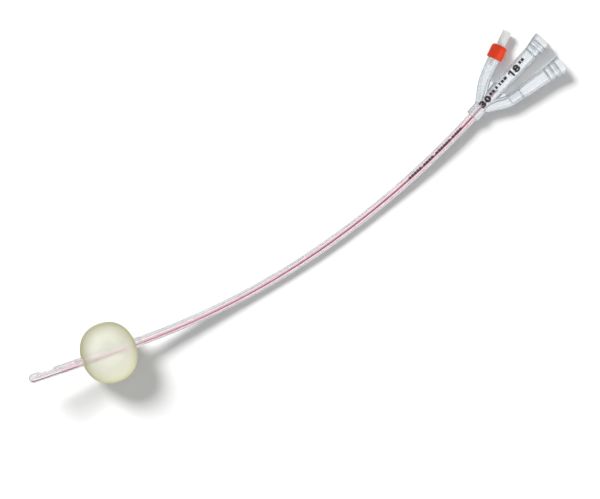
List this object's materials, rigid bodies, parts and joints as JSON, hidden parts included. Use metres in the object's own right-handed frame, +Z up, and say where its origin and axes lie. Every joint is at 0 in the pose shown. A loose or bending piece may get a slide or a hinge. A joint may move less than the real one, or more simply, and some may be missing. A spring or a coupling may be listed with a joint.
{
  "type": "foley urinary catheter",
  "caption": "Three-way urinary catheter: curved clear shaft with side stripe, filled balloon behind the eyed tip, trident hub with drainage and irrigation funnels and a spring valve.",
  "frame": {"origin": "middle of the footprint, on the surface that the catheter lies on", "axes": "+X along the drainage funnel towards its mouth, +Y to the inflation arm's side, +Z up"},
  "size_m": [0.39, 0.124, 0.039],
  "materials": {
    "clear_pvc": "clear soft PVC, glossy",
    "stripe": "coloured line drawn into the shaft's wall",
    "latex": "cream latex, thin and translucent",
    "collar": "orange-red moulded plastic, satin",
    "valve": "white moulded plastic",
    "seal": "black rubber",
    "spring": "spring wire"
  },
  "bodies": {
    "catheter": {"shaft": "clear_pvc", "xray_stripe": "stripe", "balloon": "latex", "hub": "clear_pvc", "irrigation_funnel": "clear_pvc", "valve_body": "valve", "valve_collar": "collar", "valve_spring": "spring"},
    "plunger": {"valve_plunger": "valve", "valve_seal": "seal"}
  },
  "joints": [
    {"name": "valve_plunger_slide", "type": "slide", "parent": "catheter", "child": "plunger", "axis": [-0.9563, -0.2924, 0], "range_m": [0, 0.0015], "stiffness_N_per_m": 300, "springref_m": -0.001, "deforming": ["valve_spring"]}
  ]
}
